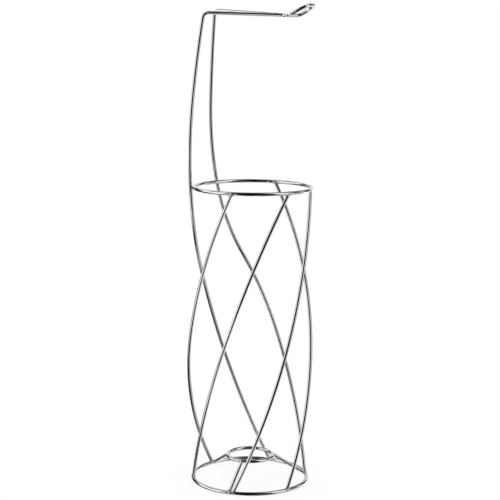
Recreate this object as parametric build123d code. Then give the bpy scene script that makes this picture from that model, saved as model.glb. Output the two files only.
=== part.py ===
from build123d import *
import os
from math import acos, cos, degrees, radians, sin, sqrt, tan

"""Free-standing toilet roll stand, bent from round steel wire, welded and chromed.

Six wires twist up from the base ring to the top ring and make a cage for the spare rolls.
Four of them end at the top ring. The other two are the ends of one long hanger wire: it passes
outside the top ring, rises as two masts, turns forward as two rails and closes in a raised loop.
The roll in use slides over the rails. A small raised ring on three spokes carries the spare rolls.
Millimetres, Z up, floor at Z = 0, arm along +X.
"""

# Wire stock
ring_wire_d = 5.0      # the three rings
cage_wire_d = 4.6      # cage, hanger and spokes
weld_gap = 0.1         # left open where the masts lie against the top ring

# Cage: two equal rings joined by twisted wires that bow outwards
ring_d = 150.0         # base and top ring, across the wire's centre
cage_h = 384.0         # base ring to top ring, centre to centre
wire_count = 6
first_station = 33.5   # degrees round from the arm to the first place on the base ring
first_head = 150.8     # degrees round from the arm to the first head on the top ring
head_slips = (0.0, 1.5, 3.5, 0.5, 0.5, 0.0)     # degrees each head stands past its even place
belly_turns = (54.5, 58.0, 62.0, 56.5, 53.0, 52.0)   # degrees from each foot to its belly
belly_swells = (4.5, 4.5, 6.0, 4.5, 4.5, 2.5)   # each belly stands this far outside the rings
belly_leans = (0.37, 0.36, 0.39, 0.345, 0.325, 0.35)   # sideways run per unit of rise there
belly_flare = -0.02    # outward run per unit of rise at the bellies

# Masts: the upper part of the hanger wire
mast_leans = (0.16, 0.06)    # sideways run per unit of rise where each mast passes the top ring
mast_flares = (0.08, 0.06)   # outward run per unit of rise at the same places
mast_tuck = 0.12       # forward run per unit of rise under the arm
mast_closing = 0.11    # run towards the other mast per unit of rise under the arm

# Arm: two rails that close up towards the loop
arm_h = 608.8          # rail corners above the floor
arm_back = 63.0        # rail corners behind the stand's axis
arm_root_w = 32.0      # between the rail corners
rail_step = 3.4        # the left corner stands this much higher than the right one
arm_bend_r = 7.0       # bend between mast and rail, on the wire's centre
neck_front = 44.0      # neck ahead of the stand's axis
neck_drop = 4.4        # neck below the rail corners
neck_gap = 0.4         # free space between the rails at the neck
neck_bend_r = 8.0
shoulder_run = 9.9     # loop's two shoulders ahead of the neck, level with it
shoulder_bend_r = 7.5  # bend at each shoulder, on the wire's centre
loop_r = 16.7          # round end of the loop, on the wire's centre
loop_straight = 10.8   # straight sides, from the shoulders to the round end
loop_rise = 28.0       # degrees the loop is turned up from its shoulders

# Roll seat inside the base ring
seat_d = 59.0          # small ring, across the wire's centre
seat_rise = 28.5       # small ring above the base ring, centre to centre
spoke_stations = (0, 2, 4)   # places on the base ring that hold a spoke
foot_gap = 0.4         # between a spoke and the foot that stands beside it

ring_r = ring_d / 2
base_z = ring_wire_d / 2
top_z = base_z + cage_h
wire_pitch = 360 / wire_count
lap = (ring_wire_d + cage_wire_d) / 2 + weld_gap


def polar(radius, angle, z):
    """A point at a radius and an angle about the stand's axis."""
    return Vector(radius * cos(radians(angle)), radius * sin(radians(angle)), z)


def ring(diameter, z):
    """A closed wire ring."""
    return Pos(0, 0, z) * Torus(diameter / 2, ring_wire_d / 2)


def rod(path):
    """Round wire along a path."""
    section = Plane(origin=path @ 0, z_dir=path % 0) * Circle(cage_wire_d / 2)
    return sweep(section, path=path)


def coped(wire, *rings):
    """A wire with its ends shaped to the rings they are welded to."""
    for other in rings:
        wire = wire - other
    return wire.solids().sort_by(SortBy.VOLUME)[-1]


def slope(angle, lean, flare):
    """A direction that rises, with a run sideways and a run outwards at an angle about the axis."""
    return (polar(flare, angle, 1) + polar(lean, angle + 90, 0)).normalized()


def station(index):
    """Angle of a place on the base ring."""
    return first_station + index * wire_pitch


def head_angle(index):
    """Angle of a wire's head on the top ring."""
    return first_head + index * wire_pitch + head_slips[index]


def cage_leg(index):
    """Foot of a wire, its belly and the direction there. A foot stands clear of its spoke."""
    beside = degrees((cage_wire_d + foot_gap) / ring_r) if index in spoke_stations else 0
    foot_angle = station(index) + beside
    belly_angle = foot_angle + belly_turns[index]
    foot = polar(ring_r, foot_angle, base_z)
    belly = polar(ring_r + belly_swells[index], belly_angle, base_z + cage_h / 2)
    return foot, belly, slope(belly_angle, belly_leans[index], belly_flare)


def cage_path(index):
    """A short cage wire: one arc from the belly down to the foot and one up to the head."""
    foot, belly, belly_dir = cage_leg(index)
    head = polar(ring_r, head_angle(index), top_z)
    lower = Edge.make_tangent_arc(belly, belly_dir * -1, foot)
    upper = Edge.make_tangent_arc(belly, belly_dir, head)
    return Wire([lower, upper])


def biarc(start, start_dir, end, end_dir):
    """Two arcs that join smoothly and keep the directions at both ends."""
    span = end - start
    a = 2 * (start_dir.dot(end_dir) - 1)
    b = -2 * span.dot(start_dir + end_dir)
    c = span.dot(span)
    reach = (-b - sqrt(b * b - 4 * a * c)) / (2 * a)
    first = start + start_dir * reach
    last = end - end_dir * reach
    middle = (first + last) / 2
    return [
        Edge.make_tangent_arc(start, start_dir, middle),
        Edge.make_tangent_arc(middle, last - first, end),
    ]


def rounded(before, corner, after, radius):
    """Start and end of the arc that rounds a corner, with the direction it starts in."""
    come = (corner - before).normalized()
    leave = (after - corner).normalized()
    setback = radius * tan(acos(come.dot(leave)) / 2)
    return corner - come * setback, come, corner + leave * setback


def rail_corner(side):
    """The corner between a mast and its rail, before it is rounded."""
    return Vector(-arm_back, side * arm_root_w / 2, arm_h + side * rail_step / 2)


neck = Vector(neck_front, 0, arm_h - neck_drop)
loop_dir = Vector(cos(radians(loop_rise)), 0, sin(radians(loop_rise)))


def shoulder(side):
    """The corner where a side of the loop turns up, before it is rounded."""
    return neck + Vector(shoulder_run, side * loop_r, 0)


def loop_start(side):
    """Where a straight side meets the round end of the loop."""
    return shoulder(side) + loop_dir * loop_straight


def neck_half():
    """Half the distance between the neck corners, so that the rounded rails keep their gap."""
    rail_dir = (neck - rail_corner(1)).normalized()
    open_dir = (shoulder(1) - neck).normalized()
    half_turn = acos(rail_dir.dot(open_dir)) / 2
    pulled_in = neck_bend_r * (1 / cos(half_turn) - 1) * (open_dir - rail_dir).normalized().Y
    return (cage_wire_d + neck_gap) / 2 - pulled_in


def hanger_side(index, side):
    """One half of the hanger: leg, mast, rail, shoulder and a straight side of the loop."""
    foot, belly, belly_dir = cage_leg(index)
    head = polar(ring_r + lap, head_angle(index), top_z)
    head_dir = slope(head_angle(index), mast_leans[index], mast_flares[index])
    mast_dir = Vector(mast_tuck, -side * mast_closing, 1).normalized()
    corner = rail_corner(side)
    neck_corner = neck + Vector(0, side * neck_half(), 0)
    mast_end, _, rail_start = rounded(corner - mast_dir, corner, neck_corner, arm_bend_r)
    turn_up = shoulder(side)
    neck_in, rail_dir, neck_out = rounded(corner, neck_corner, turn_up, neck_bend_r)
    up_in, open_dir, up_out = rounded(neck_corner, turn_up, loop_start(side), shoulder_bend_r)
    return [
        Edge.make_tangent_arc(belly, belly_dir * -1, foot),
        *biarc(belly, belly_dir, head, head_dir),
        *biarc(head, head_dir, mast_end, mast_dir),
        Edge.make_tangent_arc(mast_end, mast_dir, rail_start),
        Edge.make_line(rail_start, neck_in),
        Edge.make_tangent_arc(neck_in, rail_dir, neck_out),
        Edge.make_line(neck_out, up_in),
        Edge.make_tangent_arc(up_in, open_dir, up_out),
        Edge.make_line(up_out, loop_start(side)),
    ]


def hanger_path():
    """The whole hanger from one foot to the other, through the loop."""
    tip = (loop_start(1) + loop_start(-1)) / 2 + loop_dir * loop_r
    round_end = ThreePointArc(loop_start(1), tip, loop_start(-1))
    return Wire([*hanger_side(0, 1), round_end, *hanger_side(1, -1)])


base_ring = ring(ring_d, base_z)
top_ring = ring(ring_d, top_z)
seat_ring = ring(seat_d, base_z + seat_rise)
parts = {"base_ring": base_ring, "top_ring": top_ring, "seat_ring": seat_ring}

# Four short cage wires, from ring to ring
for number, index in enumerate(range(2, wire_count), 1):
    parts[f"cage_wire_{number}"] = coped(rod(cage_path(index)), base_ring, top_ring)

# One long wire for two cage legs, the masts and the arm
parts["hanger_wire"] = coped(rod(hanger_path()), base_ring)

# Three straight spokes under the seat ring
for number, index in enumerate(spoke_stations, 1):
    angle = station(index)
    path = Line(polar(seat_d / 2, angle, base_z + seat_rise), polar(ring_r, angle, base_z))
    parts[f"spoke_{number}"] = coped(rod(path), base_ring, seat_ring)

os.makedirs("parts", exist_ok=True)
for name, solid in parts.items():
    export_step(solid, f"parts/{name}.step")
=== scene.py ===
import bpy
import numpy as np
from mathutils import Matrix


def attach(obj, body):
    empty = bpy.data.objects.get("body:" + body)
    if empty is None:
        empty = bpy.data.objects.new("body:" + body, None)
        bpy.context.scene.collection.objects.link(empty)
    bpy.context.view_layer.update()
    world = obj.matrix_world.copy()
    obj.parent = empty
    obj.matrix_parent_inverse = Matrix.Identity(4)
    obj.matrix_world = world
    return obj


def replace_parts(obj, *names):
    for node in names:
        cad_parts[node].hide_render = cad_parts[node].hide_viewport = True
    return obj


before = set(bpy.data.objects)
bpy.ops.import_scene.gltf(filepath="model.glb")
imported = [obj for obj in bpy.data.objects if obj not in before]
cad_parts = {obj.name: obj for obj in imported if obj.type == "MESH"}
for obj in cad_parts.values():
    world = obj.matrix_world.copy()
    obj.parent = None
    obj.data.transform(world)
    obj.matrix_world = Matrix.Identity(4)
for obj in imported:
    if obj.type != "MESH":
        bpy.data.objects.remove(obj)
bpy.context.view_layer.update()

# A stand for toilet rolls, bent from round wire, welded and chromed. Floor at Z = 0, stand's axis
# on Z, arm along +X. Metres, and degrees unless a line says radians.
mm = 0.001

# Wire stock
ring_wire_r = 2.5 * mm
cage_wire_r = 2.3 * mm
weld_gap = 0.1 * mm      # left open where the masts lie against the top ring
trim = 0.06 * mm         # plated surface kept this far inside the wire's nominal size

# Cage
ring_r = 75.0 * mm       # base and top ring, on the wire's centre
base_z = ring_wire_r
cage_h = 384.0 * mm
top_z = base_z + cage_h
wire_count = 6
wire_pitch = 360 / wire_count
first_station = 33.5     # from the arm to the first place on the base ring
first_head = 150.8       # from the arm to the first head on the top ring
head_slips = (0.0, 1.5, 3.5, 0.5, 0.5, 0.0)          # each head past its even place
belly_turns = (54.5, 58.0, 62.0, 56.5, 53.0, 52.0)   # from each foot round to its belly
belly_swells = np.array((4.5, 4.5, 6.0, 4.5, 4.5, 2.5)) * mm   # bellies outside the rings
belly_leans = (0.37, 0.36, 0.39, 0.345, 0.325, 0.35)   # sideways run per unit of rise there
belly_flare = -0.02      # outward run per unit of rise there

# Masts: runs per unit of rise where they pass the top ring, and under the arm
mast_leans = (0.16, 0.06)
mast_flares = (0.08, 0.06)
mast_tuck = 0.12         # forward, under the arm
mast_closing = 0.11      # towards the other mast, under the arm
lap = ring_wire_r + cage_wire_r + weld_gap

# Arm and loop
arm_h = 608.8 * mm       # rail corners above the floor
arm_back = 63.0 * mm     # rail corners behind the stand's axis
arm_root_w = 32.0 * mm   # between the rail corners
rail_step = 3.4 * mm     # the left corner stands this much higher than the right one
arm_bend_r = 7.0 * mm
neck_front = 44.0 * mm   # neck ahead of the stand's axis
neck_drop = 4.4 * mm     # neck below the rail corners
neck_gap = 0.4 * mm      # free space between the rails at the neck
neck_bend_r = 8.0 * mm
shoulder_run = 9.9 * mm  # loop's shoulders ahead of the neck
shoulder_bend_r = 7.5 * mm
loop_r = 16.7 * mm       # round end of the loop, on the wire's centre
loop_straight = 10.8 * mm    # straight sides, from the shoulders to the round end
loop_rise = np.radians(28.0)

# Roll seat
seat_r = 29.5 * mm
seat_rise = 28.5 * mm
seat_z = base_z + seat_rise
spoke_stations = (0, 2, 4)
foot_gap = 0.4 * mm      # between a spoke and the foot that stands beside it

# Rings as centre-line radius, height and wire radius
base_hoop = (ring_r, base_z, ring_wire_r)
top_hoop = (ring_r, top_z, ring_wire_r)
seat_hoop = (seat_r, seat_z, ring_wire_r)

# Which wires are the hanger's two ends, and which are short cage wires
hanger_wires = (0, 1)
short_wires = range(2, wire_count)

# Fineness of the surfaces
wire_around = 32
ring_around = 40
station_step = 2.0 * mm  # longest step along a wire
bend_step = np.radians(6.0)  # most turn in one step
straight_aside = 1e-7    # a stop nearer than this to the line ahead is met by a straight run
meet_steps = 60          # steps that carry a point on to a ring
cope_clear = 3.2 * mm    # a wire's stations end this far from a ring
cope_rows = 4            # rows from there to the ring

# Weld fillets: reach along the wire and the ring, and how uneven it is round the wire
base_leg, top_leg, seat_leg = 1.7 * mm, 2.1 * mm, 1.6 * mm
fillet_rows = 9
leg_swell = 0.16         # share of the reach, twice round the wire
leg_ripple = 0.09        # share of the reach, three times round the wire
swell_drift = 40.0       # radians of shift for each ring radius along X
ripple_shift = 1.0       # radians
fillet_tuck = 0.015      # share of the wire's radius that a fillet starts inside the wire
fillet_sink = 0.02 * mm  # a fillet lands this far inside the ring
root_share = 0.8         # share of the ring's wire radius that a fillet's root reaches inside

# Weld beads
bead_rows = 11
bead_around = 24
bead_out, bead_up = 2.85 * mm, 2.65 * mm     # half thickness outwards and upwards
bead_lift = 0.3 * mm     # beads on the base ring sit this much above the ring's centre
pair_run, single_run = 6.0 * mm, 4.0 * mm    # half length at a foot beside a spoke, and elsewhere
lap_bead_half = np.array((1.0, 1.9, 1.9)) * mm   # half sizes outwards, sideways and upwards
haze_reach = 5.0 * mm    # how far the dull haze spreads from a weld

# Plating: scale and detail of each noise, and what the noises do
cloud_noise = (60.0, 3.0)
grain_noise = (1400.0, 2.0)
line_noise = (900.0, 2.0)
line_stretch = (0.03, 1.0, 1.0)
weld_dim = 0.05          # loss of brightness at a weld
green_lift, blue_lift = 0.004, 0.010         # plating is a touch cooler than grey
cloud_dull, grain_dull = 0.035, 0.02         # roughness from clouds and grain
grain_height, weld_grain_height = 0.25, 3.0  # height from grain, all over and at a weld
wire_finish = {"Bright": 0.9, "Dull": 0.01, "Cloud": 0.05, "Weld Dull": 0.16, "Lines": 0.5}
weld_finish = {"Bright": 0.86, "Dull": 0.08, "Cloud": 0.08, "Weld Dull": 0.32, "Lines": 0.0}
wire_bump, weld_bump = 0.0012 * mm, 0.01 * mm

# Camera at the photograph's viewing angle: its place about the stand's axis and its own turns
camera_swing = 24.233
camera_far = 1.78448
camera_height = 0.59574
camera_yaw, camera_dip, camera_roll = -0.00148, 0.16137, 0.00948   # radians
camera_lens, camera_sensor = 100.78, 36.0    # millimetres
camera_near = 0.01

# Studio
white = (1.0, 1.0, 1.0, 1.0)
even_grey = (0.75, 0.75, 0.75, 1.0)          # light on what isn't bright metal
room_light = (0.005, 0.0035, 0.003)
# Soft sheets of light: middle and half width in turn, lift from and to, soft edges, light
studio_sheets = (
    ((-73, 16), (-5, 63), (4, 4), (0.99, 0.94, 0.905)),
    ((-101, 13), (-6, 28), (4, 13), (1.31, 1.25, 1.205)),
    ((-128, 9), (19, 92), (4, 4), (1.30, 1.26, 1.23)),
    ((65, 19), (-1, 79), (4, 14), (1.01, 0.96, 0.925)),
    ((112, 7), (-50, 89), (4, 4), (0.53, 0.51, 0.49)),
    ((175, 31), (-90, 33), (12, 9), (0.765, 0.768, 0.772)),
    ((66, 62), (-48, -29), (4, 4), (0.222, 0.228, 0.236)),
    ((-121, 89), (-90, -59), (4, 4), (0.60, 0.63, 0.665)),
    ((-69, 23), (-39, -16), (4, 7), (1.07, 1.07, 1.075)),
    ((82, 23), (-78, -2), (10, 4), (0.505, 0.508, 0.513)),
    ((-75, 28), (-13, 0), (4, 4), (0.525, 0.518, 0.512)),
    ((142, 15), (-33, -20), (5, 4), (1.27, 1.29, 1.32)),
    ((-33.5, 1.5), (-40, -6), (1.5, 2), (1.4, 1.38, 1.36)),
)
floor_r = 0.3
floor_rings, floor_around = 24, 96
floor_grey = (0.9, 0.9, 0.9, 1.0)
floor_fade_from = 0.4                        # share of the floor's radius
floor_glow_inner, floor_glow_rim = 0.86, 1.0
lamp_across, lamp_power, lamp_height = 1.2, 14.0, 1.8


# Directions and places
def unit(v):
    """A vector divided by its length."""
    return v / np.linalg.norm(v, axis=-1, keepdims=True)


def polar(radius, angle, z):
    """A point at a radius, an angle in degrees about the stand's axis and a height."""
    return np.array([radius * np.cos(np.radians(angle)), radius * np.sin(np.radians(angle)), z])


def slope(angle, lean, flare):
    """A direction that rises one part, runs lean parts sideways and flare parts outwards."""
    return unit(polar(flare, angle, 1.0) + polar(lean, angle + 90, 0.0))


def station(index):
    """Angle of a place on the base ring."""
    return first_station + index * wire_pitch


def head_angle(index):
    """Angle of a wire's head on the top ring."""
    return first_head + index * wire_pitch + head_slips[index]


def cage_leg(index):
    """Foot and belly of a wire and the direction at its belly. A foot stands clear of its spoke."""
    beside = np.degrees((2 * cage_wire_r + foot_gap) / ring_r) if index in spoke_stations else 0.0
    foot_angle = station(index) + beside
    belly_angle = foot_angle + belly_turns[index]
    foot = polar(ring_r, foot_angle, base_z)
    belly = polar(ring_r + belly_swells[index], belly_angle, base_z + cage_h / 2)
    return foot, belly, slope(belly_angle, belly_leans[index], belly_flare)


def mirrored(heading, start, stop):
    """The direction at the other end of an arc: the heading mirrored in the chord."""
    chord = unit(stop - start)
    return 2 * np.dot(heading, chord) * chord - heading


def biarc_middle(start, start_dir, stop, stop_dir):
    """The point where two arcs that keep both end directions meet.

    Both tangents are run out by one reach, chosen so that the ends lie twice that reach apart;
    the middle is half-way between them.
    """
    span = stop - start
    a = 2 * (np.dot(start_dir, stop_dir) - 1)
    b = -2 * np.dot(span, start_dir + stop_dir)
    c = np.dot(span, span)
    reach = (-b - np.sqrt(b * b - 4 * a * c)) / (2 * a)
    return (start + start_dir * reach + stop - stop_dir * reach) / 2


def rounded(before, corner, after, radius):
    """Start and end of the arc that rounds a corner, set back by radius times tan(turn / 2)."""
    come = unit(corner - before)
    leave = unit(after - corner)
    setback = radius * np.tan(np.arccos(np.dot(come, leave)) / 2)
    return corner - come * setback, corner + leave * setback


# Courses of the wires
def bend(start, heading, side, stop):
    """Stations along the arc that leaves start along heading and ends at stop.

    With R the radius and a the turn so far, a point is start + R (sin a heading + (1 - cos a)
    inward). The direction is cos a heading + sin a inward, and the side vector turns with it
    about the arc's own axis, so the wire doesn't twist. A stop straight ahead gives a straight
    run.
    """
    chord = stop - start
    along = np.dot(chord, heading)
    across = chord - along * heading
    height = np.linalg.norm(across)
    if height < straight_aside:
        share = np.linspace(0, 1, int(np.ceil(along / station_step)) + 1)[:, None]
        points = start + share * chord
        return points, np.broadcast_to(heading, points.shape), np.broadcast_to(side, points.shape)
    inward = across / height
    radius = np.dot(chord, chord) / (2 * height)
    turn = 2 * np.arctan2(height, along)
    count = int(np.ceil(max(radius * turn / station_step, turn / bend_step)))
    a = np.linspace(0, turn, count + 1)[:, None]
    points = start + radius * (np.sin(a) * heading + (1 - np.cos(a)) * inward)
    headings = np.cos(a) * heading + np.sin(a) * inward
    axis = np.cross(heading, inward)
    swung = np.cos(a) * inward - np.sin(a) * heading
    sides = np.dot(side, axis) * axis + np.dot(side, inward) * swung
    return points, headings, sides


def trail(start, heading, stops):
    """A wire's course: arcs and straight runs laid end to end, each leaving as the last arrived."""
    side = unit(np.cross(heading, np.array([heading[2], heading[0], heading[1]])))
    legs = []
    for stop in stops:
        points, headings, sides = bend(start, heading, side, stop)
        legs.append((points[:-1], headings[:-1], sides[:-1]))
        start, heading, side = points[-1], headings[-1], sides[-1]
    legs.append((start[None], heading[None], side[None]))
    return [np.concatenate(part) for part in zip(*legs)]


def turned_back(course):
    """The same course from its other end."""
    points, headings, sides = course
    return points[::-1], -headings[::-1], sides[::-1]


def cage_course(index):
    """A short cage wire: one arc from the foot to the belly and one on to the head."""
    foot, belly, belly_dir = cage_leg(index)
    head = polar(ring_r, head_angle(index), top_z)
    return trail(foot, mirrored(belly_dir, foot, belly), [belly, head])


def spoke_course(index):
    """A straight spoke from the seat ring down to the base ring."""
    start = polar(seat_r, station(index), seat_z)
    stop = polar(ring_r, station(index), base_z)
    return trail(start, unit(stop - start), [stop])


neck = np.array([neck_front, 0.0, arm_h - neck_drop])
loop_dir = np.array([np.cos(loop_rise), 0.0, np.sin(loop_rise)])


def rail_corner(side):
    """The corner between a mast and its rail, before it is rounded."""
    return np.array([-arm_back, side * arm_root_w / 2, arm_h + side * rail_step / 2])


def shoulder(side):
    """The corner where a side of the loop turns up, before it is rounded."""
    return neck + np.array([shoulder_run, side * loop_r, 0.0])


def loop_start(side):
    """Where a straight side meets the round end of the loop."""
    return shoulder(side) + loop_dir * loop_straight


def neck_half():
    """Half the distance between the neck's corners, so that the rounded rails keep their gap.

    Rounding pulls a corner in by radius (1 / cos(half the turn) - 1) along the bend's inner side.
    """
    rail_dir = unit(neck - rail_corner(1))
    open_dir = unit(shoulder(1) - neck)
    half_turn = np.arccos(np.dot(rail_dir, open_dir)) / 2
    pulled_in = neck_bend_r * (1 / np.cos(half_turn) - 1) * unit(open_dir - rail_dir)[1]
    return cage_wire_r + neck_gap / 2 - pulled_in


def hanger_stops(index, side):
    """The places that one half of the hanger passes: belly, top ring, mast, rail, neck, loop."""
    foot, belly, belly_dir = cage_leg(index)
    head = polar(ring_r + lap, head_angle(index), top_z)
    head_dir = slope(head_angle(index), mast_leans[index], mast_flares[index])
    mast_dir = unit(np.array([mast_tuck, -side * mast_closing, 1.0]))
    corner = rail_corner(side)
    neck_corner = neck + np.array([0.0, side * neck_half(), 0.0])
    mast_end, rail_start = rounded(corner - mast_dir, corner, neck_corner, arm_bend_r)
    neck_in, neck_out = rounded(corner, neck_corner, shoulder(side), neck_bend_r)
    up_in, up_out = rounded(neck_corner, shoulder(side), loop_start(side), shoulder_bend_r)
    return [
        foot,
        belly,
        biarc_middle(belly, belly_dir, head, head_dir),
        head,
        biarc_middle(head, head_dir, mast_end, mast_dir),
        mast_end,
        rail_start,
        neck_in,
        neck_out,
        up_in,
        up_out,
        loop_start(side),
    ]


def hanger_course():
    """The whole hanger: from one foot up, over the arm, round the loop and down to the other."""
    left, right = hanger_wires
    up, down = hanger_stops(left, 1), hanger_stops(right, -1)
    heading = mirrored(cage_leg(left)[2], up[0], up[1])
    tip = (loop_start(1) + loop_start(-1)) / 2 + loop_dir * loop_r
    return trail(up[0], heading, up[1:] + [tip] + down[::-1])


# Where wires meet rings
def depth(points, hoop):
    """Distance of points from a ring's surface: from its centre circle, less the wire's radius."""
    radius, height, wire_r = hoop
    off = np.hypot(points[..., 0], points[..., 1]) - radius
    return np.hypot(off, points[..., 2] - height) - wire_r


def pressed_on(points, hoop):
    """The nearest points on a ring's surface, straight out from its centre circle."""
    radius, height, wire_r = hoop
    flat = points * np.array([1.0, 1.0, 0.0])
    centre = unit(flat) * radius + np.array([0.0, 0.0, height])
    return centre + unit(points - centre) * wire_r


def met(points, heading, hoop):
    """Points carried along a heading to a ring, each step as long as what is still clear."""
    for _ in range(meet_steps):
        points = points + depth(points, hoop)[..., None] * heading
    return points


def clear_of(course, hoop):
    """The stations of a course that lie clear of a ring."""
    clear = depth(course[0], hoop) > cope_clear
    return [part[clear] for part in course]


def hoops_around(points, headings, sides, radius, around):
    """Circles about the stations: centre + radius (cos f side + sin f (heading x side))."""
    f = np.linspace(0, 2 * np.pi, around, endpoint=False)[:, None]
    across = np.cross(headings, sides)
    turned = np.cos(f) * sides[:, None] + np.sin(f) * across[:, None]
    return points[:, None] + radius * turned


# Surfaces
def near_welds(points, spots):
    """How close points are to the nearest weld: exp(-(distance / reach) squared)."""
    gap = np.linalg.norm(points[..., None, :] - np.asarray(spots), axis=-1).min(axis=-1)
    return np.exp(-((gap / haze_reach) ** 2))


def course_of(centres, radius, around):
    """Coordinates that follow a wire: length run so far, and the place on its round section."""
    run = np.concatenate([[0.0], np.cumsum(np.linalg.norm(np.diff(centres, axis=0), axis=1))])
    f = np.linspace(0, 2 * np.pi, around, endpoint=False)
    return np.stack(
        [
            np.repeat(run[:, None], around, 1),
            np.repeat(radius * np.cos(f)[None], len(run), 0),
            np.repeat(radius * np.sin(f)[None], len(run), 0),
        ],
        axis=-1,
    )


def wire_shell(course, first_hoop, last_hoop, spots):
    """Round wire along a course, coped to a ring at each end.

    Circles about the stations, then rows that carry the end circles on to the rings' surfaces,
    and a pole on each ring's surface where the wire's centre line meets it.
    """
    course = clear_of(clear_of(course, last_hoop), first_hoop)
    points, headings, _ = course
    poles = (met(points[0], -headings[0], first_hoop), met(points[-1], headings[-1], last_hoop))
    grid = hoops_around(*course, cage_wire_r - trim, wire_around)
    share = np.linspace(0, 1, cope_rows + 1)[1:, None, None]
    start_touch = met(grid[0], -headings[0], first_hoop)
    stop_touch = met(grid[-1], headings[-1], last_hoop)
    head = grid[:1] + share[::-1] * (start_touch - grid[:1])
    tail = grid[-1:] + share * (stop_touch - grid[-1:])
    grid = np.concatenate([head, grid, tail])
    run = course_of(grid.mean(1), cage_wire_r, wire_around)
    return grid, run, near_welds(grid, spots), poles


def ring_shell(hoop, spots):
    """A closed wire ring: a circle of the wire's radius carried round a circle about Z.

    The run along it is counted both ways from one side, so that it closes without a seam.
    """
    radius, height, wire_r = hoop
    count = int(np.ceil(2 * np.pi * radius / station_step))
    angle = np.linspace(0, 2 * np.pi, count, endpoint=False)
    outward = np.stack([np.cos(angle), np.sin(angle), np.zeros(count)], axis=-1)
    headings = np.stack([-np.sin(angle), np.cos(angle), np.zeros(count)], axis=-1)
    points = radius * outward + np.array([0.0, 0.0, height])
    grid = hoops_around(points, headings, outward, wire_r - trim, ring_around)
    run = course_of(points, wire_r, ring_around)
    run[..., 0] = radius * np.abs(angle - np.pi)[:, None]
    return grid, run, near_welds(grid, spots), None


def weld_shell(course, hoop, leg):
    """The fillet of a welded wire end.

    Round the wire, a curve leaves the wire's side one leg short of the ring, bends round the
    corner where both meet, and lands on the ring one leg away: (1-s)^2 A + 2 s (1-s) C + s^2 B.
    The leg swells and shrinks a little round the wire, as a hand-set weld does.
    """
    points, headings, sides = [part[-1:] for part in clear_of(course, hoop)]
    centre, heading = points[0], headings[0]
    last = hoops_around(points, headings, sides, cage_wire_r, wire_around)[0]
    corner = met(last, heading, hoop)
    f = np.linspace(0, 2 * np.pi, wire_around, endpoint=False)[:, None]
    swell = leg_swell * np.sin(2 * f + swell_drift * centre[0] / ring_r)
    legs = leg * (1 + swell + leg_ripple * np.sin(3 * f + ripple_shift))
    out = last - centre
    on_wire = corner - legs * heading - fillet_tuck * out
    radius, height, wire_r = hoop
    on_ring = pressed_on(corner + legs * unit(out), (radius, height, wire_r - fillet_sink))
    s = np.linspace(0, 1, fillet_rows)[:, None, None]
    grid = (1 - s) ** 2 * on_wire + 2 * s * (1 - s) * corner + s ** 2 * on_ring
    root = met(centre, heading, hoop) + heading * wire_r * root_share
    return grid, grid.copy(), np.ones(grid.shape[:2]), (on_wire.mean(0), root)


def bead_shell(centre, axes, sizes):
    """A bead of weld metal: a sphere's rows and columns stretched to three half sizes."""
    up = np.linspace(-np.pi / 2, np.pi / 2, bead_rows + 2)[1:-1, None]
    f = np.linspace(0, 2 * np.pi, bead_around, endpoint=False)[None]
    ball = np.stack([np.cos(up) * np.cos(f), np.cos(up) * np.sin(f), np.sin(up) + 0 * f], axis=-1)
    grid = centre + (ball * sizes) @ axes
    poles = (centre - axes[2] * sizes[2], centre + axes[2] * sizes[2])
    return grid, grid.copy(), np.ones(grid.shape[:2]), poles


def ring_axes(angle):
    """Outward, sideways and upward at an angle about the stand's axis."""
    return np.stack([polar(1.0, angle, 0.0), polar(1.0, angle + 90, 0.0), polar(0.0, angle, 1.0)])


def ring_bead(angle, height, half_run):
    """A bead that wraps a ring at a joint, a little thicker than the ring and longer than high."""
    sizes = np.array([bead_out, half_run, bead_up])
    return bead_shell(polar(ring_r, angle, height), ring_axes(angle), sizes)


def foot_bead(index):
    """The bead at a place on the base ring: a long one where a foot stands beside a spoke."""
    paired = index in spoke_stations
    beside = np.degrees((cage_wire_r + foot_gap / 2) / ring_r) if paired else 0.0
    half_run = pair_run if paired else single_run
    return ring_bead(station(index) + beside, base_z + bead_lift, half_run)


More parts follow.
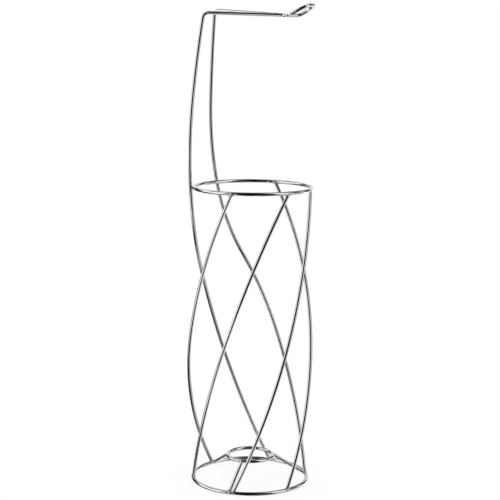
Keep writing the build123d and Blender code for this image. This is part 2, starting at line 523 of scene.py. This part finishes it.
def skin(shells, name, material):
    """One smooth mesh from closed shells.

    A shell is a grid of points, rows along and columns around, with the surface's own run of
    coordinates and weld haze at each point. A shell with poles is closed by a fan at each end;
    one without poles closes on itself along its rows too, as a ring does.
    """
    points, courses, hazes, corners, sizes = [], [], [], [], []
    base = 0
    for grid, course, haze, poles in shells:
        rows, around = grid.shape[:2]
        numbers = base + np.arange(rows * around).reshape(rows, around)
        here = numbers[:-1] if poles is not None else numbers
        beyond = numbers[1:] if poles is not None else np.roll(numbers, -1, axis=0)
        quads = np.stack([here, np.roll(here, -1, 1), np.roll(beyond, -1, 1), beyond], axis=-1)
        points.append(grid.reshape(-1, 3))
        courses.append(course.reshape(-1, 3))
        hazes.append(haze.reshape(-1))
        corners.append(quads.reshape(-1))
        sizes.append(np.full(quads.size // 4, 4))
        base += rows * around
        if poles is None:
            continue
        first, last = numbers[0], numbers[-1]
        start = np.stack([np.full(around, base), np.roll(first, -1), first], axis=-1)
        stop = np.stack([np.full(around, base + 1), last, np.roll(last, -1)], axis=-1)
        points.append(np.stack(poles))
        courses.append(np.stack([course[0].mean(0), course[-1].mean(0)]))
        hazes.append(np.array([haze[0].mean(), haze[-1].mean()]))
        corners.append(np.concatenate([start, stop]).reshape(-1))
        sizes.append(np.full(2 * around, 3))
        base += 2
    points, corners = np.concatenate(points), np.concatenate(corners)
    sizes = np.concatenate(sizes)
    mesh = bpy.data.meshes.new(name)
    mesh.vertices.add(len(points))
    mesh.vertices.foreach_set("co", points.astype(np.float32).ravel())
    mesh.loops.add(len(corners))
    mesh.loops.foreach_set("vertex_index", corners.astype(np.int32))
    mesh.polygons.add(len(sizes))
    mesh.polygons.foreach_set("loop_start", (np.cumsum(sizes) - sizes).astype(np.int32))
    mesh.polygons.foreach_set("use_smooth", np.ones(len(sizes), dtype=bool))
    mesh.update(calc_edges=True)
    along = mesh.attributes.new("wire_course", "FLOAT_VECTOR", "POINT")
    along.data.foreach_set("vector", np.concatenate(courses).astype(np.float32).ravel())
    haze = mesh.attributes.new("weld_haze", "FLOAT", "POINT")
    haze.data.foreach_set("value", np.concatenate(hazes).astype(np.float32))
    mesh.validate()
    mesh.materials.append(material)
    piece = bpy.data.objects.new(name, mesh)
    bpy.context.scene.collection.objects.link(piece)
    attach(piece, "root")
    return piece


# Finishes
def linked(tree, source, target):
    """Joins two sockets of a node tree."""
    tree.links.new(source, target)


def placed(tree, kind, **values):
    """A node with its plain settings."""
    node = tree.nodes.new(kind)
    for key, value in values.items():
        setattr(node, key, value)
    return node


def maths(tree, operation, *values):
    """A Math node between sockets and numbers."""
    node = placed(tree, "ShaderNodeMath", operation=operation)
    for socket, value in zip(node.inputs, values):
        if isinstance(value, (int, float)):
            socket.default_value = value
        else:
            linked(tree, value, socket)
    return node.outputs[0]


def smooth_step(tree, value, before, after, low, high):
    """A smooth step from low to high as a value goes from before to after."""
    node = placed(tree, "ShaderNodeMapRange", interpolation_type="SMOOTHSTEP")
    linked(tree, value, node.inputs["Value"])
    numbers = {"From Min": before, "From Max": after, "To Min": low, "To Max": high}
    for key, number in numbers.items():
        node.inputs[key].default_value = number
    return node.outputs["Result"]


def plated_film():
    """Node group of bright plating on drawn wire.

    Slow clouds tint it, fine grain and the haze round a weld dull it, and faint lines along the
    wire with grain give the height. Lines are noise stretched along the wire's run.
    """
    group = bpy.data.node_groups.new("plated film", "ShaderNodeTree")
    face = group.interface
    face.new_socket("Course", in_out="INPUT", socket_type="NodeSocketVector")
    for name in ("Haze", *wire_finish):
        face.new_socket(name, in_out="INPUT", socket_type="NodeSocketFloat")
    face.new_socket("Tint", in_out="OUTPUT", socket_type="NodeSocketColor")
    face.new_socket("Roughness", in_out="OUTPUT", socket_type="NodeSocketFloat")
    face.new_socket("Height", in_out="OUTPUT", socket_type="NodeSocketFloat")
    given = placed(group, "NodeGroupInput").outputs
    result = placed(group, "NodeGroupOutput").inputs

    def noise(scale, detail, source):
        """Noise on coordinates that follow the wire."""
        node = placed(group, "ShaderNodeTexNoise")
        node.inputs["Scale"].default_value = scale
        node.inputs["Detail"].default_value = detail
        linked(group, source, node.inputs["Vector"])
        return node.outputs["Fac"]

    def add(first, second):
        """The sum of two values."""
        return maths(group, "ADD", first, second)

    def times(first, second):
        """The product of two values."""
        return maths(group, "MULTIPLY", first, second)

    stretched = placed(group, "ShaderNodeMapping")
    stretched.inputs["Scale"].default_value = line_stretch
    linked(group, given["Course"], stretched.inputs["Vector"])
    clouds = noise(*cloud_noise, given["Course"])
    grain = noise(*grain_noise, given["Course"])
    lines = noise(*line_noise, stretched.outputs["Vector"])
    weld = given["Haze"]

    cloudy = times(maths(group, "SUBTRACT", clouds, 0.5), given["Cloud"])
    bright = add(given["Bright"], cloudy)
    dimmed = maths(group, "SUBTRACT", bright, times(weld, weld_dim))
    tint = placed(group, "ShaderNodeCombineColor")
    linked(group, dimmed, tint.inputs["Red"])
    linked(group, add(dimmed, green_lift), tint.inputs["Green"])
    linked(group, add(dimmed, blue_lift), tint.inputs["Blue"])
    linked(group, tint.outputs["Color"], result["Tint"])

    dull = add(given["Dull"], times(clouds, cloud_dull))
    dull = add(dull, times(grain, grain_dull))
    dull = add(dull, times(weld, given["Weld Dull"]))
    linked(group, dull, result["Roughness"])

    height = times(lines, given["Lines"])
    height = add(height, times(grain, grain_height))
    height = add(height, times(times(grain, weld), weld_grain_height))
    linked(group, height, result["Height"])
    return group


film = plated_film()


def chrome(name, settings, bump):
    """A chromed finish: the plated film on a metal shader, with its height as a fine bump."""
    material = bpy.data.materials.new(name)
    material.use_nodes = True
    tree = material.node_tree
    shader = tree.nodes["Principled BSDF"]
    shader.inputs["Metallic"].default_value = 1.0
    layer = placed(tree, "ShaderNodeGroup", node_tree=film)
    for key, value in settings.items():
        layer.inputs[key].default_value = value
    course = placed(tree, "ShaderNodeAttribute", attribute_name="wire_course")
    haze = placed(tree, "ShaderNodeAttribute", attribute_name="weld_haze")
    linked(tree, course.outputs["Vector"], layer.inputs["Course"])
    linked(tree, haze.outputs["Fac"], layer.inputs["Haze"])
    relief = placed(tree, "ShaderNodeBump")
    relief.inputs["Strength"].default_value = 1.0
    relief.inputs["Distance"].default_value = bump
    linked(tree, layer.outputs["Tint"], shader.inputs["Base Color"])
    linked(tree, layer.outputs["Roughness"], shader.inputs["Roughness"])
    linked(tree, layer.outputs["Height"], relief.inputs["Height"])
    linked(tree, relief.outputs["Normal"], shader.inputs["Normal"])
    return material


wire_chrome = chrome("chromed wire", wire_finish, wire_bump)
weld_chrome = chrome("chromed weld", weld_finish, weld_bump)

# Courses and weld spots
cage_courses = [cage_course(index) for index in short_wires]
spoke_courses = [spoke_course(index) for index in spoke_stations]
hanger = hanger_course()
lap_r = ring_r + ring_wire_r + weld_gap / 2
foot_spots = [cage_leg(index)[0] for index in range(wire_count)]
head_spots = [polar(ring_r, head_angle(index), top_z) for index in short_wires]
lap_spots = [polar(lap_r, head_angle(index), top_z) for index in hanger_wires]
spoke_feet = [polar(ring_r, station(index), base_z) for index in spoke_stations]
spoke_heads = [polar(seat_r, station(index), seat_z) for index in spoke_stations]

# Rings and wires
for name, hoop, spots in (
    ("base_ring", base_hoop, foot_spots + spoke_feet),
    ("top_ring", top_hoop, head_spots + lap_spots),
    ("seat_ring", seat_hoop, spoke_heads),
):
    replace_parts(skin([ring_shell(hoop, spots)], name + "_bright", wire_chrome), name)

for number, course in enumerate(cage_courses, 1):
    shell = wire_shell(course, base_hoop, top_hoop, foot_spots + head_spots)
    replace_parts(skin([shell], f"cage_wire_{number}_bright", wire_chrome), f"cage_wire_{number}")

shell = wire_shell(hanger, base_hoop, base_hoop, foot_spots + lap_spots)
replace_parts(skin([shell], "hanger_wire_bright", wire_chrome), "hanger_wire")

for number, course in enumerate(spoke_courses, 1):
    shell = wire_shell(course, seat_hoop, base_hoop, spoke_heads + spoke_feet)
    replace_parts(skin([shell], f"spoke_{number}_bright", wire_chrome), f"spoke_{number}")

# Welds
base_welds = [weld_shell(turned_back(course), base_hoop, base_leg) for course in cage_courses]
base_welds += [weld_shell(end, base_hoop, base_leg) for end in (hanger, turned_back(hanger))]
base_welds += [weld_shell(course, base_hoop, base_leg) for course in spoke_courses]
base_welds += [foot_bead(index) for index in range(wire_count)]
skin(base_welds, "base_welds", weld_chrome)

top_welds = [weld_shell(course, top_hoop, top_leg) for course in cage_courses]
top_welds += [ring_bead(head_angle(index), top_z, single_run) for index in short_wires]
for index, spot in zip(hanger_wires, lap_spots):
    top_welds.append(bead_shell(spot, ring_axes(head_angle(index)), lap_bead_half))
skin(top_welds, "top_welds", weld_chrome)

seat_welds = [weld_shell(turned_back(course), seat_hoop, seat_leg) for course in spoke_courses]
skin(seat_welds, "seat_welds", weld_chrome)


def camera_pose():
    """Where the camera stands and how it is turned.

    It stands off from the stand's axis, swung round it. It looks ahead by its yaw and dip, and
    its right and up are turned about that line by its roll.
    """
    swing = ring_axes(camera_swing).T
    ahead = np.array(
        [
            np.sin(camera_yaw) * np.cos(camera_dip),
            np.cos(camera_yaw) * np.cos(camera_dip),
            -np.sin(camera_dip),
        ]
    )
    level = np.array([np.cos(camera_yaw), -np.sin(camera_yaw), 0.0])
    above = np.cross(level, ahead)
    right = np.cos(camera_roll) * level + np.sin(camera_roll) * above
    up = np.cos(camera_roll) * above - np.sin(camera_roll) * level
    pose = np.eye(4)
    pose[:3, :3] = swing @ np.stack([right, up, -ahead], axis=1)
    pose[:3, 3] = swing @ np.array([0.0, -camera_far, camera_height])
    return pose


lens = bpy.data.cameras.new("camera")
lens.sensor_width = camera_sensor
lens.lens = camera_lens
lens.clip_start = camera_near
camera = bpy.data.objects.new("camera", lens)
camera.matrix_world = Matrix(camera_pose().tolist())
bpy.context.scene.collection.objects.link(camera)
bpy.context.scene.camera = camera


def sheet_window(tree, turn, lift, middle, half, low, high, turn_edge, lift_edge):
    """How much of a sheet is seen in a direction: 1 inside, falling softly to 0 past its edges."""

    def edge(value, at, soft, ends):
        """A soft edge, one soft width to each side of its place."""
        before, after = np.radians(at - soft), np.radians(at + soft)
        return smooth_step(tree, value, before, after, *ends)

    rising, falling = (0.0, 1.0), (1.0, 0.0)
    aside = maths(tree, "SUBTRACT", turn, float(np.radians(middle)))
    aside = maths(tree, "ABSOLUTE", maths(tree, "WRAP", aside, np.pi, -np.pi))
    window = edge(aside, half, turn_edge, falling)
    window = maths(tree, "MULTIPLY", window, edge(lift, low, lift_edge, rising))
    return maths(tree, "MULTIPLY", window, edge(lift, high, lift_edge, falling))


def studio():
    """World of a plain photo studio.

    The camera sees white. Bright metal sees soft sheets of light far round the stand, each a
    window in the turn from the way to the camera and in the lift above the level, with soft
    edges, added up over a dim room. Other light is even.
    """
    world = bpy.data.worlds.new("studio")
    bpy.context.scene.world = world
    world.use_nodes = True
    tree = world.node_tree
    tree.nodes.clear()

    where = placed(tree, "ShaderNodeTexCoord")
    turned = placed(tree, "ShaderNodeMapping", vector_type="POINT")
    turned.inputs["Rotation"].default_value = (0.0, 0.0, -np.radians(camera_swing))
    parts = placed(tree, "ShaderNodeSeparateXYZ")
    linked(tree, where.outputs["Generated"], turned.inputs["Vector"])
    linked(tree, turned.outputs["Vector"], parts.inputs["Vector"])
    x, y, z = parts.outputs
    turn = maths(tree, "ARCTAN2", x, maths(tree, "MULTIPLY", y, -1.0))
    lift = maths(tree, "ARCSINE", z)

    room = placed(tree, "ShaderNodeCombineXYZ")
    for socket, value in zip(room.inputs, room_light):
        socket.default_value = value
    light = room.outputs["Vector"]
    for turn_span, lift_span, edges, colour in studio_sheets:
        sheet = placed(tree, "ShaderNodeVectorMath", operation="MULTIPLY_ADD")
        sheet.inputs[0].default_value = colour
        window = sheet_window(tree, turn, lift, *turn_span, *lift_span, *edges)
        linked(tree, window, sheet.inputs[1])
        linked(tree, light, sheet.inputs[2])
        light = sheet.outputs["Vector"]

    path = placed(tree, "ShaderNodeLightPath").outputs
    backdrop = maths(tree, "MAXIMUM", path["Is Camera Ray"], path["Is Transmission Ray"])
    even = placed(tree, "ShaderNodeMix", data_type="RGBA")
    even.inputs["A"].default_value = even_grey
    linked(tree, path["Is Glossy Ray"], even.inputs["Factor"])
    linked(tree, light, even.inputs["B"])
    seen = placed(tree, "ShaderNodeMix", data_type="RGBA")
    seen.inputs["B"].default_value = white
    linked(tree, backdrop, seen.inputs["Factor"])
    linked(tree, even.outputs["Result"], seen.inputs["A"])
    background = placed(tree, "ShaderNodeBackground")
    background.inputs["Strength"].default_value = 1.0
    linked(tree, seen.outputs["Result"], background.inputs["Color"])
    out = placed(tree, "ShaderNodeOutputWorld")
    linked(tree, background.outputs["Background"], out.inputs["Surface"])


def floor_finish():
    """Matt floor that keeps the stand's shadow and fades into the white round it.

    Part of it glows white: a fixed share in the middle, and all of it at the rim.
    """
    material = bpy.data.materials.new("pale floor")
    material.use_nodes = True
    tree = material.node_tree
    tree.nodes.clear()
    glow = placed(tree, "ShaderNodeEmission")
    glow.inputs["Strength"].default_value = 1.0
    matt = placed(tree, "ShaderNodeBsdfDiffuse")
    matt.inputs["Color"].default_value = floor_grey
    where = placed(tree, "ShaderNodeTexCoord")
    far = placed(tree, "ShaderNodeVectorMath", operation="LENGTH")
    linked(tree, where.outputs["Object"], far.inputs[0])
    fade_from = floor_fade_from * floor_r
    levels = (floor_glow_inner, floor_glow_rim)
    fade = smooth_step(tree, far.outputs["Value"], fade_from, floor_r, *levels)
    both = placed(tree, "ShaderNodeMixShader")
    linked(tree, fade, both.inputs["Fac"])
    linked(tree, matt.outputs["BSDF"], both.inputs[1])
    linked(tree, glow.outputs["Emission"], both.inputs[2])
    out = placed(tree, "ShaderNodeOutputMaterial")
    linked(tree, both.outputs["Shader"], out.inputs["Surface"])
    return material


def pale_floor():
    """A round floor: circles of growing radius on Z = 0, closed by a fan at the middle."""
    f = np.linspace(0, 2 * np.pi, floor_around, endpoint=False)
    out = np.linspace(0, 1, floor_rings + 1)[1:, None] * floor_r
    grid = np.stack([out * np.cos(f), out * np.sin(f), 0 * out * f], axis=-1)
    numbers = 1 + np.arange(floor_rings * floor_around).reshape(floor_rings, floor_around)
    inner, outer = numbers[:-1], numbers[1:]
    quads = np.stack([inner, outer, np.roll(outer, -1, 1), np.roll(inner, -1, 1)], axis=-1)
    fan = np.stack([np.zeros(floor_around, int), numbers[0], np.roll(numbers[0], -1)], axis=-1)
    points = np.concatenate([np.zeros((1, 3)), grid.reshape(-1, 3)])
    mesh = bpy.data.meshes.new("pale_floor")
    mesh.from_pydata(points.tolist(), [], fan.tolist() + quads.reshape(-1, 4).tolist())
    mesh.materials.append(floor_finish())
    floor = bpy.data.objects.new("pale_floor", mesh)
    floor.visible_glossy = False
    bpy.context.scene.collection.objects.link(floor)


def top_softbox():
    """One soft round lamp above the stand, which isn't seen itself."""
    lamp = bpy.data.lights.new("top_softbox", "AREA")
    lamp.shape = "DISK"
    lamp.size = lamp_across
    lamp.energy = lamp_power
    softbox = bpy.data.objects.new("top_softbox", lamp)
    softbox.location = (0.0, 0.0, lamp_height)
    softbox.visible_camera = False
    softbox.visible_glossy = False
    bpy.context.scene.collection.objects.link(softbox)


studio()
pale_floor()
top_softbox()

bpy.context.scene.view_settings.view_transform = "Standard"
